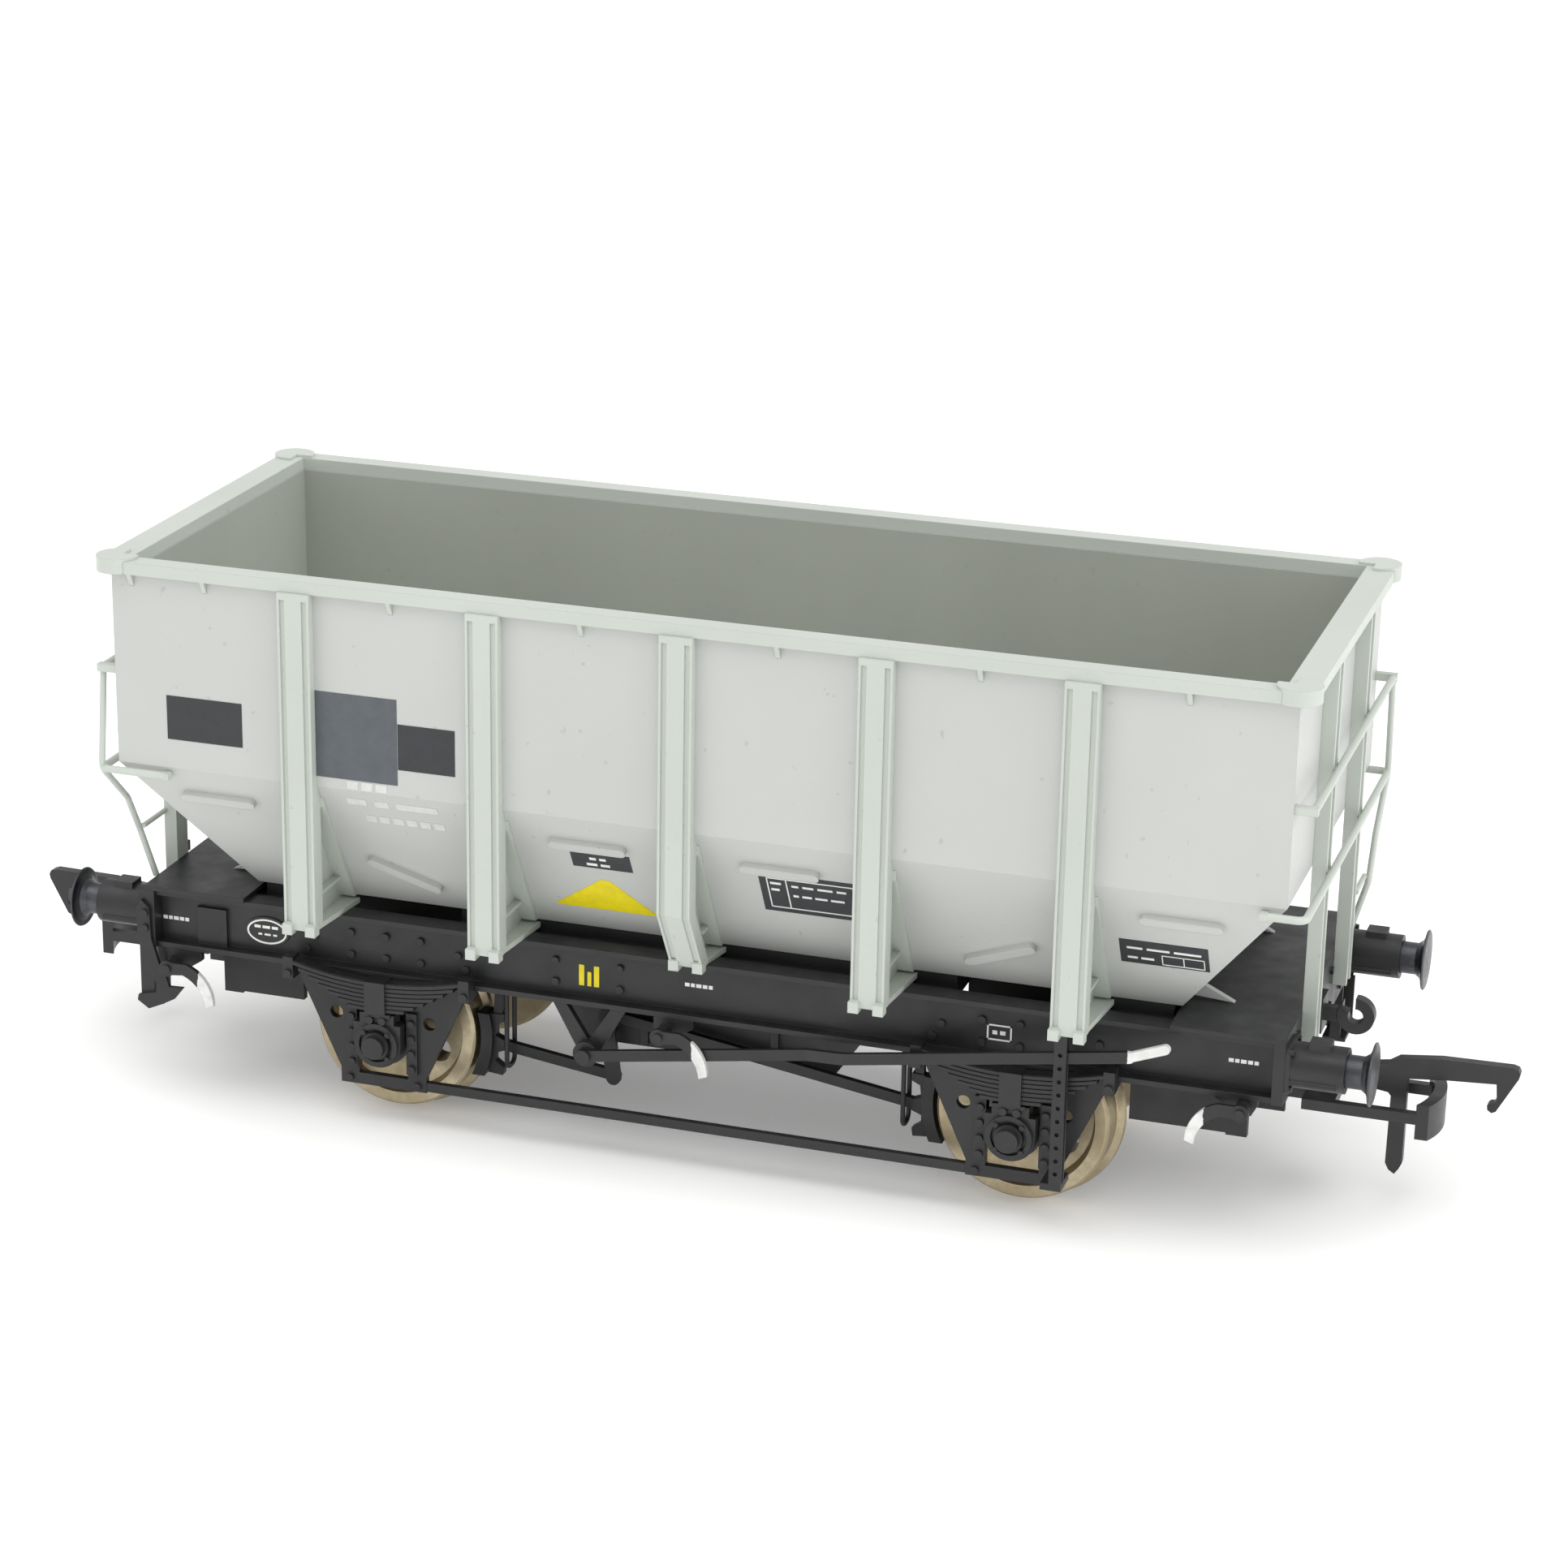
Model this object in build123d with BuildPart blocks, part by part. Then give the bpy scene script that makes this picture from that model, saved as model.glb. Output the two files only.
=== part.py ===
from build123d import *
import os
from math import atan2, cos, degrees, hypot, radians, sin

os.makedirs("parts", exist_ok=True)

# A four-wheel hopper wagon to 1:76.2 on 16.5 mm gauge track, in millimetres.
# X runs along the wagon, Y across it and Z up. Z = 0 is the bottom of the wheel
# flanges, and X = Y = 0 is the middle of the wagon. The near side is -Y, and the
# wagon looks the same after half a turn about Z, so most pieces are made once, on
# the near side or at the right end, and their twins are turned copies.

# ---------------------------------------------------------------- running gear
wheelbase = 48.0
tread_radius = 6.3
flange_depth = 0.7
flange_width = 0.8
tread_width = 2.0
back_to_back = 14.4
axle_radius = 1.0
axle_span = 26.0
cone_length = 1.6
cone_tip_radius = 0.12
bearing_clearance = 0.05
cup_wall = 0.3
cup_seat_clearance = 0.01

# ---------------------------------------------------------------- hopper body
body_half_length = 42.9
body_half_width = 16.0
chute_half_length = 35.0
chute_half_width = 9.7
hopper_bottom = 17.0
fold_height = 27.5
body_top = 41.85
wall = 1.2
floor_thickness = 0.9
rim_overhang_x = 1.0
rim_overhang_y = 0.5
rim_height = 0.9
rim_inset = 0.1
cap_radius = 1.55
cap_height = 0.2
strip_width = 0.8
strip_height = 0.45
strip_length = 5.8
fin_spacing = 14.2

# ---------------------------------------------------------------- stanchions
stanchion_pitch = 14.25
stanchion_width = 2.45
stanchion_projection = 0.75
stanchion_depth = 1.35
stanchion_recess = 0.15
groove_centre = 0.84
groove_half_width = 0.19
stanchion_foot = 16.5
gusset_thickness = 0.5
gusset_flange_half_width = 1.45
crank_height = 21.4
crank_shift = 3.1
end_post_spacing = 12.4
end_post_width = 1.8
end_post_depth = 1.0
end_post_foot = 14.0
post_flange = 0.4
rail_radius = 0.28
upper_rail_height = 34.4
lower_rail_height = 26.9

# ---------------------------------------------------------------- underframe
solebar_bottom = 11.9
solebar_top = 16.4
solebar_web_face = 11.6
solebar_edge = 12.6
web_thickness = 0.8
flange_thickness = 0.4
headstock_thickness = 0.8
headstock_half_width = 12.9
deck_thickness = 0.35
frame_floor_bottom = 15.2
frame_floor_top = 16.0
beam_inner = 8.8
beam_thickness = 0.8
wheel_well_half_length = 5.2
spine_clearance = 1.0
end_box_bottom = 7.9
end_box_face = 9.6
end_box_wall = 0.6
end_box_long_inset = 2.9
end_box_short_inset = 4.8
rivet_radius = 0.3
rivet_height = 0.22

# ---------------------------------------------------------------- suspension
guard_back = 11.9
guard_thickness = 0.55
guard_half_top = 6.5
guard_half_foot = 3.4
guard_half_slot = 1.95
guard_foot = 3.1
keeper_top = 4.0
horn_width = 0.85
horn_thickness = 0.3
spring_back = 12.65
spring_width = 1.15
spring_half_length = 6.9
leaf_pitch = 0.33
leaf_thickness = 0.25
leaf_count = 7
leaf_step = 0.78
spring_camber_radius = 26.0
buckle_bottom = 9.5
axlebox_face = 13.9
axlebox_cap_radius = 0.85
axlebox_nose = 14.6

# ---------------------------------------------------------------- buffers
buffer_height = 14.49
buffer_spacing = 22.46
housing_length = 4.05
housing_radius = 1.62
buffer_flange = 3.3
shank_radius = 1.17
shank_clearance = 0.05
buffer_head_radius = 2.25
buffer_reach = 6.05
buffer_travel = 1.0
spring_wire_radius = 0.13
spring_coil_radius = 0.8
shank_start = 2.7

# ---------------------------------------------------------------- couplings
pivot_inset = 7.3
pivot_radius = 0.9
pivot_clearance = 0.06
tongue_bottom = 7.6
tongue_top = 8.4
tongue_half_width = 1.2
tongue_fit = 0.03
socket_wall = 0.4
socket_start = 2.3
socket_end = 5.6
bar_reach = 9.46
bar_half_width = 3.05
bar_bow = 0.73
bar_bottom = 6.5
bar_top = 9.15
bar_thickness = 0.9
loop_arm_width = 0.65
hook_thickness = 0.8
hook_pin_reach = 2.4
hook_pin_height = 9.6
hook_pin_radius = 0.35
hook_clearance = 0.15

# ---------------------------------------------------------------- brake and door gear
brake_pivot_x = -7.85
brake_pivot_height = 8.4
lever_back = 14.15
lever_thickness = 0.35
lever_half_depth = 0.42
handle_half_depth = 0.35
lever_knee_reach = 8.4
lever_knee_height = 14.6
lever_end_reach = 10.9
lever_end_height = 15.55
lever_guide_offset = 3.65
lever_guide_width = 0.9
guide_strip = 0.22
shoe_gap = 0.35
shoe_thickness = 0.9
shoe_inner = 8.2
shoe_outer = 9.7
loop_wire_radius = 0.18

# ---------------------------------------------------------------- worked-out places
axle_height = tread_radius + flange_depth
flange_radius = axle_height
axle_x = wheelbase / 2
wheel_inner = back_to_back / 2
wheel_outer = wheel_inner + flange_width + tread_width
rim_half_length = body_half_length + rim_overhang_x
rim_half_width = body_half_width + rim_overhang_y
stanchion_face = body_half_width + stanchion_projection
deck_inner_end = chute_half_length - 0.2
spine_half_width = wheel_inner - spine_clearance
end_box_start = axle_x + flange_radius + 0.6
pivot_x = body_half_length - pivot_inset
hook_pin_x = body_half_length + hook_pin_reach
bar_x = body_half_length + bar_reach
buffer_face = body_half_length + buffer_reach
shank_back = body_half_length + shank_start
lever_guide_x = axle_x + lever_guide_offset
lever_root = guard_back + guard_thickness + 0.8
inner_half_length = body_half_length - wall
inner_half_width = body_half_width - wall
headstock_inner = body_half_length - headstock_thickness
solebar_back = solebar_web_face - web_thickness
deck_top = solebar_top + deck_thickness
guard_face = guard_back + guard_thickness
spring_face = spring_back + spring_width
end_post_y = end_post_spacing / 2
buffer_y = buffer_spacing / 2
side_slope = Plane(
    origin=(0, -body_half_width, fold_height),
    x_dir=(1, 0, 0),
    z_dir=(0, -(fold_height - hopper_bottom), -(body_half_width - chute_half_width)),
)


# ---------------------------------------------------------------- helpers
def block(x, y, z, mode=Mode.ADD):
    """Add a box to the open part, from the low and high ends along each axis."""
    with Locations(((x[0] + x[1]) / 2, (y[0] + y[1]) / 2, (z[0] + z[1]) / 2)):
        Box(abs(x[1] - x[0]), abs(y[1] - y[0]), abs(z[1] - z[0]), mode=mode)


def plate(plane, outline, thickness, mode=Mode.ADD, both=False):
    """Add a flat plate to the open part: a straight-edged outline, extruded off its plane."""
    with BuildSketch(plane) as face:
        with BuildLine():
            Polyline(*outline, close=True)
        make_face()
    extrude(face.sketch, thickness, both=both, mode=mode)


def disc(plane, centre, radius, thickness, mode=Mode.ADD):
    """Add a round boss to the open part, or cut a round hole in it."""
    with BuildSketch(plane) as face:
        with Locations(centre):
            Circle(radius)
    extrude(face.sketch, thickness, mode=mode)


def bar(plane, start, end, half_depth, thickness):
    """Add a straight flat bar with round ends to the open part, between two pin centres."""
    middle = ((start[0] + end[0]) / 2, (start[1] + end[1]) / 2)
    length = hypot(end[0] - start[0], end[1] - start[1])
    tilt = degrees(atan2(end[1] - start[1], end[0] - start[0]))
    with BuildSketch(plane) as face:
        with Locations(Location((middle[0], middle[1], 0), (0, 0, tilt))):
            SlotCenterToCenter(length, 2 * half_depth)
    extrude(face.sketch, thickness)


def wire(points, bend_radius, radius):
    """Add a round wire to the open part, along straight runs with rounded corners."""
    with BuildLine() as path:
        FilletPolyline(*points, radius=bend_radius)
    with BuildSketch(Plane(origin=path.line @ 0, z_dir=path.line % 0)) as section:
        Circle(radius)
    sweep(section.sketch, path=path.line)


def rivets(plane, places):
    """Add rivet heads to the open part, standing on a plane."""
    with BuildSketch(plane) as heads:
        with Locations(*places):
            Circle(rivet_radius)
    extrude(heads.sketch, rivet_height)


def turned(shape):
    """The same piece after half a turn about Z."""
    return shape.rotate(Axis.Z, 180)


def keep(shape, name):
    """Label a finished piece and write its STEP file."""
    shape.label = name
    export_step(shape, f"parts/{name}.step")


def keep_group(shapes, name):
    """Write several separate solids as one labelled group."""
    keep(Compound(children=list(shapes)), name)


def keep_sides(shape, name):
    """Write a near-side piece, and its twin on the far side."""
    keep(shape, f"{name}_near")
    keep(turned(shape), f"{name}_far")


def keep_ends(shape, name):
    """Write a right-hand piece, and its twin at the left end."""
    keep(shape, f"{name}_right")
    keep(turned(shape), f"{name}_left")


# ---------------------------------------------------------------- hopper body
# A shell with upright walls down to the fold, then sides and ends that slope in.
inner_floor = hopper_bottom + floor_thickness
slope_share = floor_thickness / (fold_height - hopper_bottom)
inner_bottom_length = chute_half_length + slope_share * (body_half_length - chute_half_length) - wall
inner_bottom_width = chute_half_width + slope_share * (body_half_width - chute_half_width) - wall

with BuildPart() as side_strips:
    # Raised strips on one sloping side: level ones near the fold, tilted ones lower down.
    for along, up_slope, tilt in (
        (-2.5 * stanchion_pitch, -2.8, 0), (-1.57 * stanchion_pitch, -8.8, -26),
        (-0.5 * stanchion_pitch, -2.8, 0), (0.5 * stanchion_pitch, -2.8, 0),
        (1.57 * stanchion_pitch, -8.8, 26), (2.5 * stanchion_pitch, -2.8, 0),
    ):
        with BuildSketch(side_slope) as strip:
            with Locations(Location((along, up_slope, 0), (0, 0, tilt))):
                SlotOverall(strip_length, strip_width)
        extrude(strip.sketch, strip_height)

end_slope_run = (body_half_length - chute_half_length) / (fold_height - hopper_bottom)
fin_top = hopper_bottom + 0.95
fin_foot = chute_half_length + 3.2
with BuildPart() as end_fins:
    # Two small fins stand between the sloping end and the deck.
    for fin_y in (-fin_spacing / 2, fin_spacing / 2):
        plate(Plane.XZ.offset(-fin_y), [
            (chute_half_length, hopper_bottom), (fin_foot, deck_top), (fin_foot - 0.7, deck_top + 0.35),
            (chute_half_length + end_slope_run * (fin_top - hopper_bottom), fin_top),
        ], gusset_thickness / 2, both=True)

with BuildPart() as hopper_body:
    with BuildSketch(Plane.XY.offset(hopper_bottom)):
        Rectangle(2 * chute_half_length, 2 * chute_half_width)
    with BuildSketch(Plane.XY.offset(fold_height)):
        Rectangle(2 * body_half_length, 2 * body_half_width)
    loft()
    block((-body_half_length, body_half_length), (-body_half_width, body_half_width),
          (fold_height, body_top))
    with BuildSketch(Plane.XY.offset(inner_floor)):
        Rectangle(2 * inner_bottom_length, 2 * inner_bottom_width)
    with BuildSketch(Plane.XY.offset(fold_height)):
        Rectangle(2 * inner_half_length, 2 * inner_half_width)
    loft(mode=Mode.SUBTRACT)
    block((-inner_half_length, inner_half_length), (-inner_half_width, inner_half_width),
          (fold_height, body_top), mode=Mode.SUBTRACT)
    add(side_strips.part)
    add(turned(side_strips.part))
    add(end_fins.part)
    add(turned(end_fins.part))
keep(hopper_body.part, "hopper_body")

# ---------------------------------------------------------------- rim
rim_opening_length = inner_half_length + rim_inset
rim_opening_width = inner_half_width + rim_inset
rim_corner = 1.2
with BuildPart() as rim_brackets:
    for bracket_x in [-2.9 * stanchion_pitch] + [(n + 0.5) * stanchion_pitch for n in range(-3, 3)]:
        plate(Plane.YZ.offset(bracket_x), [
            (-body_half_width, body_top), (-rim_half_width, body_top),
            (-body_half_width, body_top - 0.95),
        ], 0.18, both=True)

with BuildPart() as top_rim:
    with BuildSketch(Plane.XY.offset(body_top)):
        RectangleRounded(2 * rim_half_length, 2 * rim_half_width, rim_corner)
        Rectangle(2 * rim_opening_length, 2 * rim_opening_width, mode=Mode.SUBTRACT)
    extrude(amount=rim_height)
    add(rim_brackets.part)
    add(turned(rim_brackets.part))
keep(top_rim.part, "top_rim")

with BuildPart() as rim_corner_caps:
    with BuildSketch(Plane.XY.offset(body_top)):
        with GridLocations(2 * (rim_half_length - rim_corner), 2 * (rim_half_width - rim_corner), 2, 2):
            Circle(cap_radius)
        Rectangle(2 * body_half_length - 1, 2 * body_half_width - 2, mode=Mode.SUBTRACT)
    extrude(amount=rim_height + cap_height)
    with BuildSketch(Plane.XY.offset(body_top)) as under:
        RectangleRounded(2 * rim_half_length, 2 * rim_half_width, rim_corner)
    extrude(under.sketch, rim_height, mode=Mode.SUBTRACT)
keep(rim_corner_caps.part, "rim_corner_caps")


# ---------------------------------------------------------------- side stanchions
def slope_height(distance):
    """Height of the outside of a sloping side at this distance from the centreline."""
    share = (body_half_width - distance) / (body_half_width - chute_half_width)
    return fold_height - share * (fold_height - hopper_bottom)


def side_stanchion(centre_x, shift):
    """One near-side stanchion with its gusset. The middle one is cranked in by shift."""
    inner_face = stanchion_face - stanchion_depth
    foot_back = inner_face - shift
    with BuildPart() as stanchion:
        across = Plane.YZ.offset(centre_x)
        plate(across, [
            (-body_half_width, body_top), (-stanchion_face, body_top),
            (-stanchion_face, crank_height), (-stanchion_face + shift, stanchion_foot),
            (-foot_back, stanchion_foot), (-inner_face, crank_height),
            (-inner_face, slope_height(inner_face)), (-body_half_width, fold_height),
        ], stanchion_width / 2, both=True)
        # Two grooves leave a broad middle bar between the edge flanges.
        deep = stanchion_face - stanchion_recess
        groove_foot = stanchion_foot + 0.6
        groove_shift = shift * (crank_height - groove_foot) / (crank_height - stanchion_foot)
        for groove_x in (-groove_centre, groove_centre):
            plate(Plane.YZ.offset(centre_x + groove_x), [
                (-stanchion_face - 1, body_top - 0.5), (-stanchion_face - 1, groove_foot),
                (-deep + groove_shift, groove_foot), (-deep, crank_height), (-deep, body_top - 0.5),
            ], groove_half_width, mode=Mode.SUBTRACT, both=True)
        # Two small toes at the foot.
        toe_face = stanchion_face - shift
        for toe_x in (-0.9, 0.9):
            block((centre_x + toe_x - 0.38, centre_x + toe_x + 0.38),
                  (-toe_face - 0.35, -toe_face + 0.5), (stanchion_foot - 0.3, stanchion_foot + 0.5))
        # The gusset: a web, a flange along the hopper's slope and one along the bottom.
        plate(across, [
            (-foot_back, solebar_top), (-foot_back, stanchion_foot), (-inner_face, crank_height),
            (-inner_face, slope_height(inner_face)), (-chute_half_width, hopper_bottom),
            (-chute_half_width, solebar_top),
        ], gusset_thickness / 2, both=True)
        plate(across, [
            (-inner_face, slope_height(inner_face)), (-chute_half_width, hopper_bottom),
            (-chute_half_width - 0.45, hopper_bottom), (-inner_face, slope_height(inner_face) - 0.75),
        ], gusset_flange_half_width, both=True)
        plate(Plane.XY.offset(solebar_top), [
            (centre_x - 1.1, -foot_back - 0.3), (centre_x + 1.1, -foot_back - 0.3),
            (centre_x + gusset_flange_half_width + 0.2, -chute_half_width),
            (centre_x - gusset_flange_half_width - 0.2, -chute_half_width),
        ], 0.4)
        # A stiffener across the gusset.
        plate(across, [
            (-foot_back - 0.1, 18.6), (-foot_back - 0.1, 18.9), (-11.3, 18.9), (-11.15, 18.6),
        ], 0.8, both=True)
    return stanchion.part


stanchions = [
    side_stanchion(n * stanchion_pitch, crank_shift if n == 0 else 0.0) for n in range(-2, 3)
]
keep_group(stanchions, "side_stanchions_near")
keep_group([turned(part) for part in stanchions], "side_stanchions_far")

# ---------------------------------------------------------------- end stanchions
post_face = body_half_length + end_post_depth
end_posts = []
for post_y in (-end_post_y, end_post_y):
    with BuildPart() as end_post:
        half = end_post_width / 2
        block((body_half_length, post_face), (post_y - half, post_y + half), (end_post_foot, body_top))
        block((post_face - 0.5, post_face), (post_y - half + post_flange, post_y + half - post_flange),
              (end_post_foot, body_top), mode=Mode.SUBTRACT)
    end_posts.append(end_post.part)
keep_group(end_posts + [turned(part) for part in end_posts], "end_stanchions")

# ---------------------------------------------------------------- end handrails
rail_x = post_face + rail_radius + 0.02
rail_end_y = body_half_width - 0.5
low_rail_y = body_half_width + rail_radius
plain_corner_x = body_half_length - 1.5
rod_corner_x = body_half_length - 3.9
rod_low_height = 16.6
with BuildPart() as end_handrail:
    # Upper rail, held by a flat lug at each end.
    with BuildSketch(Plane.XZ.offset(-rail_end_y)) as rail_end:
        with Locations((rail_x, upper_rail_height)):
            Circle(rail_radius)
    extrude(rail_end.sketch, 2 * rail_end_y)
    for lug_y in (-rail_end_y, rail_end_y):
        block((body_half_length, rail_x + rail_radius), (lug_y - 0.3, lug_y + 0.3),
              (upper_rail_height - 0.28, upper_rail_height + 0.28))
    # Lower rail, bent round both corners to a foot on the sloping side.
    wire([
        (plain_corner_x, -low_rail_y, lower_rail_height), (rail_x, -low_rail_y, lower_rail_height),
        (rail_x, low_rail_y, lower_rail_height), (rod_corner_x, low_rail_y, lower_rail_height),
    ], 0.6, rail_radius)
    for foot_x, foot_side in ((plain_corner_x, -1), (rod_corner_x, 1)):
        block((foot_x - 0.25, foot_x + 0.25),
              (foot_side * (low_rail_y + 0.25), foot_side * (body_half_width - 0.2)),
              (lower_rail_height - 0.25, lower_rail_height + 0.25))
    # Rod down from the upper rail, in behind the buffer, to the headstock.
    wire([
        (rail_x, rail_end_y - 0.2, upper_rail_height), (rail_x, low_rail_y - 0.1, lower_rail_height),
        (rail_x, 12.4, 23.4), (rail_x, 10.6, 20.3), (body_half_length + rail_radius, 10.2, rod_low_height),
    ], 1.2, rail_radius * 0.85)
    # Strut from the rod to the nearer end stanchion.
    strut_height = 20.6
    with BuildSketch(Plane.XZ.offset(-(end_post_y + end_post_width / 2))) as strut:
        with Locations((rail_x - 0.35, strut_height)):
            Circle(0.2)
    extrude(strut.sketch, -(10.7 - end_post_y - end_post_width / 2))
keep_ends(end_handrail.part, "end_handrail")

# ---------------------------------------------------------------- solebars and headstocks
rivet_rows = []
for axle in (-axle_x, axle_x):
    rivet_rows += [(axle + dx, z) for dx in (-2.75, 0, 2.75) for z in (13.05, 14.75)]
    rivet_rows += [(axle - 5.7, 14.05), (axle + 5.7, 14.05), (axle - 6.3, 13.05), (axle + 6.3, 13.05)]
rivet_rows += [(brake_pivot_x + dx, z) for dx in (-2.85, 2.1) for z in (13.15, 14.8)]

with BuildPart() as solebar:
    length_span = (-headstock_inner, headstock_inner)
    block(length_span, (-solebar_web_face, -solebar_back), (solebar_bottom, solebar_top))
    for low in (solebar_bottom, solebar_top - flange_thickness):
        block(length_span, (-solebar_edge, -solebar_web_face), (low, low + flange_thickness))
    web_plane = Plane.XZ.offset(solebar_web_face)
    rivets(web_plane, rivet_rows)
    # Label board and oval plate near the left end.
    board_end = -body_half_length + 3.8
    block((board_end, board_end + 2.4), (-solebar_web_face - 0.3, -solebar_web_face), (12.3, 15.2))
    with BuildSketch(web_plane) as oval:
        with Locations((board_end + 5.6, 13.9)):
            Ellipse(1.8, 1.15)
    extrude(oval.sketch, 0.12)
keep_sides(solebar.part, "solebar")

with BuildPart() as headstock:
    block((headstock_inner, body_half_length), (-headstock_half_width, headstock_half_width),
          (solebar_bottom, solebar_top))
    rivets(Plane.YZ.offset(body_half_length), [(y, z) for y in (-8.4, -4.2, 4.2, 8.4) for z in (12.8, 15.5)])
keep_ends(headstock.part, "headstock")

with BuildPart() as end_deck:
    block((deck_inner_end, body_half_length), (-headstock_half_width, headstock_half_width),
          (solebar_top, deck_top))
keep_ends(end_deck.part, "end_deck")

# ---------------------------------------------------------------- centre frame
box_plate_bottom = 9.5
box_plate_top = 10.0
mouth_end = body_half_length - 1.2
mouth_half_width = 4.6
screw_clearance = 0.02
screw_radius = pivot_radius - pivot_clearance
with BuildPart() as centre_frame:
    block((-headstock_inner, headstock_inner), (-solebar_back, solebar_back),
          (frame_floor_bottom, frame_floor_top))
    beam_outer = beam_inner + beam_thickness
    for edge in (-1, 1):
        block((-deck_inner_end + 0.4, deck_inner_end - 0.4), (edge * beam_inner, edge * beam_outer),
              (frame_floor_top, hopper_bottom))
    for past_axle in (-5.0, 6.4, 9.6):
        for rib_x in (-axle_x - past_axle, axle_x + past_axle):
            block((rib_x - 0.4, rib_x + 0.4), (-beam_outer, beam_outer), (frame_floor_top, hopper_bottom))
    # Wells over the wheels, with a skirt on the spine between them.
    for well_x in (-axle_x, axle_x):
        well_span = (well_x - wheel_well_half_length, well_x + wheel_well_half_length)
        for edge in (-1, 1):
            block(well_span, (edge * spine_half_width, edge * (solebar_back + 0.1)),
                  (frame_floor_bottom - 0.1, hopper_bottom + 0.1), mode=Mode.SUBTRACT)
            block(well_span, (edge * (spine_half_width - 0.5), edge * spine_half_width),
                  (frame_floor_bottom - 1.8, frame_floor_bottom))
    # End boxes that carry the couplings: a long cheek and a short one, each with a lip.
    cheek_back = end_box_face - end_box_wall
    for end in (-1, 1):
        for edge in (-1, 1):
            inset = end_box_long_inset if end * edge < 0 else end_box_short_inset
            cheek_end = end * (body_half_length - inset)
            cheek = (edge * cheek_back, edge * end_box_face)
            block((end * end_box_start, cheek_end), cheek, (end_box_bottom, frame_floor_bottom))
            block((cheek_end - end * 1.5, cheek_end), cheek, (end_box_bottom - 0.15, end_box_bottom))
            block((end * (pivot_x + 3.0), end * mouth_end),
                  (edge * (mouth_half_width - 0.4), edge * mouth_half_width), (end_box_bottom, box_plate_top))
        block((end * end_box_start, end * (body_half_length - end_box_short_inset)),
              (-cheek_back, cheek_back), (box_plate_bottom, box_plate_top))
        block((end * pivot_x, end * mouth_end), (-mouth_half_width, mouth_half_width),
              (box_plate_bottom, box_plate_top))
        disc(Plane.XY.offset(box_plate_bottom), (end * pivot_x, 0), 1.7,
             tongue_top + 0.1 - box_plate_bottom)
        disc(Plane.XY.offset(tongue_top), (end * pivot_x, 0), screw_radius + screw_clearance, 3.0,
             mode=Mode.SUBTRACT)
keep(centre_frame.part, "centre_frame")

with BuildPart() as ballast_weight:
    weight_end = axle_x - wheel_well_half_length - 0.3
    block((-weight_end, weight_end), (-(beam_inner - 0.1), beam_inner - 0.1),
          (frame_floor_top, hopper_bottom - 0.05))
keep(ballast_weight.part, "ballast_weight")

# ---------------------------------------------------------------- discharge chute and doors
chute_top_x, chute_foot_x = 15.0, 9.6
chute_top_y, chute_foot_y = 8.4, 8.0
chute_foot = 7.4
chute_wall = 0.6
with BuildPart() as discharge_chute:
    with BuildSketch(Plane.XY.offset(chute_foot)):
        Rectangle(2 * chute_foot_x, 2 * chute_foot_y)
    with BuildSketch(Plane.XY.offset(frame_floor_bottom)):
        Rectangle(2 * chute_top_x, 2 * chute_top_y)
    loft()
    with BuildSketch(Plane.XY.offset(chute_foot)):
        Rectangle(2 * (chute_foot_x - chute_wall), 2 * (chute_foot_y - chute_wall))
    with BuildSketch(Plane.XY.offset(frame_floor_bottom)):
        Rectangle(2 * (chute_top_x - chute_wall), 2 * (chute_top_y - chute_wall))
    loft(mode=Mode.SUBTRACT)
    for rib_x in (-5.0, 5.0):
        for edge in (-1, 1):
            block((rib_x - 0.3, rib_x + 0.3), (edge * (chute_foot_y - 0.1), edge * (chute_foot_y + 0.45)),
                  (chute_foot + 0.3, frame_floor_bottom))
keep(discharge_chute.part, "discharge_chute")

door_gap = 0.1
doors = []
for edge in (-1, 1):
    with BuildPart() as door:
        block((edge * door_gap, edge * (chute_foot_x - chute_wall - door_gap)),
              (-(chute_foot_y - chute_wall - door_gap), chute_foot_y - chute_wall - door_gap),
              (chute_foot + 0.15, chute_foot + 0.65))
        for rib_y in (-4.5, 0, 4.5):
            block((edge * 1.0, edge * 8.0), (rib_y - 0.25, rib_y + 0.25),
                  (chute_foot - 0.25, chute_foot + 0.15))
    doors.append(door.part)
keep_group(doors, "discharge_doors")

# ---------------------------------------------------------------- screws
screw_seat = tongue_bottom - 0.1
screws = []
for end in (-1, 1):
    with BuildPart() as screw:
        disc(Plane.XY.offset(screw_seat), (end * pivot_x, 0), 1.45, -0.6)
        disc(Plane.XY.offset(screw_seat), (end * pivot_x, 0), screw_radius, box_plate_top - screw_seat)
        block((end * pivot_x - 1.0, end * pivot_x + 1.0), (-0.15, 0.15),
              (screw_seat - 0.6, screw_seat - 0.35), mode=Mode.SUBTRACT)
    screws.append(screw.part)
keep_group(screws, "coupling_screws")

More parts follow.
